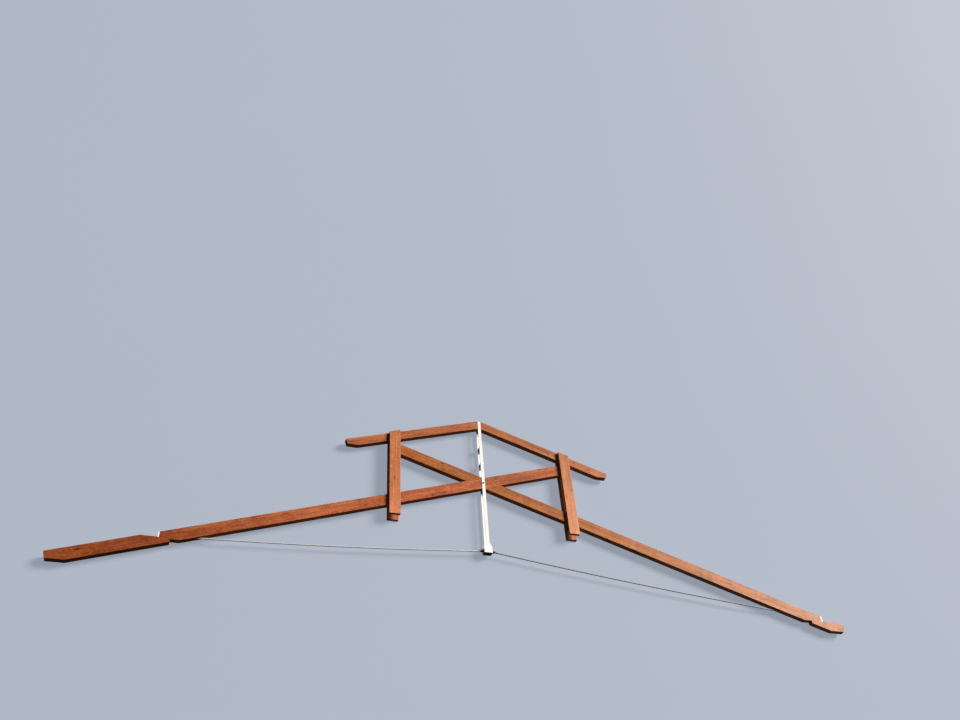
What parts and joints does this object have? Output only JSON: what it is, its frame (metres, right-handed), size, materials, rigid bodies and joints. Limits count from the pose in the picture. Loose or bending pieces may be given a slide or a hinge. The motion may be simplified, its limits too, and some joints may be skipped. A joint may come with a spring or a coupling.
{
  "type": "timber scissor roof truss",
  "caption": "Long timber scissor truss with halved crossing chords, short top chords, paired plank posts, a twin-bar steel king post with a flared foot, and two steel tie rods.",
  "frame": {"origin": "middle of the footprint, on the floor plane, with the truss lying on its back", "axes": "+X along the span to the truss's right, +Y towards the ridge, +Z out of the front face (up as it lies)"},
  "size_m": [19.17, 5.195, 0.3],
  "materials": {
    "timber": "sawn, red-brown stain",
    "white_steel": "satin white paint",
    "rod_steel": "dull galvanised",
    "dark_steel": "dark primer"
  },
  "bodies": {
    "root": {"left_long_chord": "timber", "right_long_chord": "timber", "left_top_chord": "timber", "right_top_chord": "timber", "left_post_front_plank": "timber", "right_post_front_plank": "timber", "left_post_back_plank": "timber", "right_post_back_plank": "timber", "king_post_front_bar": "white_steel", "king_post_back_bar": "white_steel", "king_post_lower_spacer": "white_steel", "king_post_upper_spacer": "white_steel", "king_post_foot_block": "white_steel", "left_heel_plate": "white_steel", "right_heel_plate": "white_steel", "left_tie_rod": "rod_steel", "right_tie_rod": "rod_steel", "left_rod_coupler": "dark_steel", "right_rod_coupler": "dark_steel"}
  },
  "joints": []
}
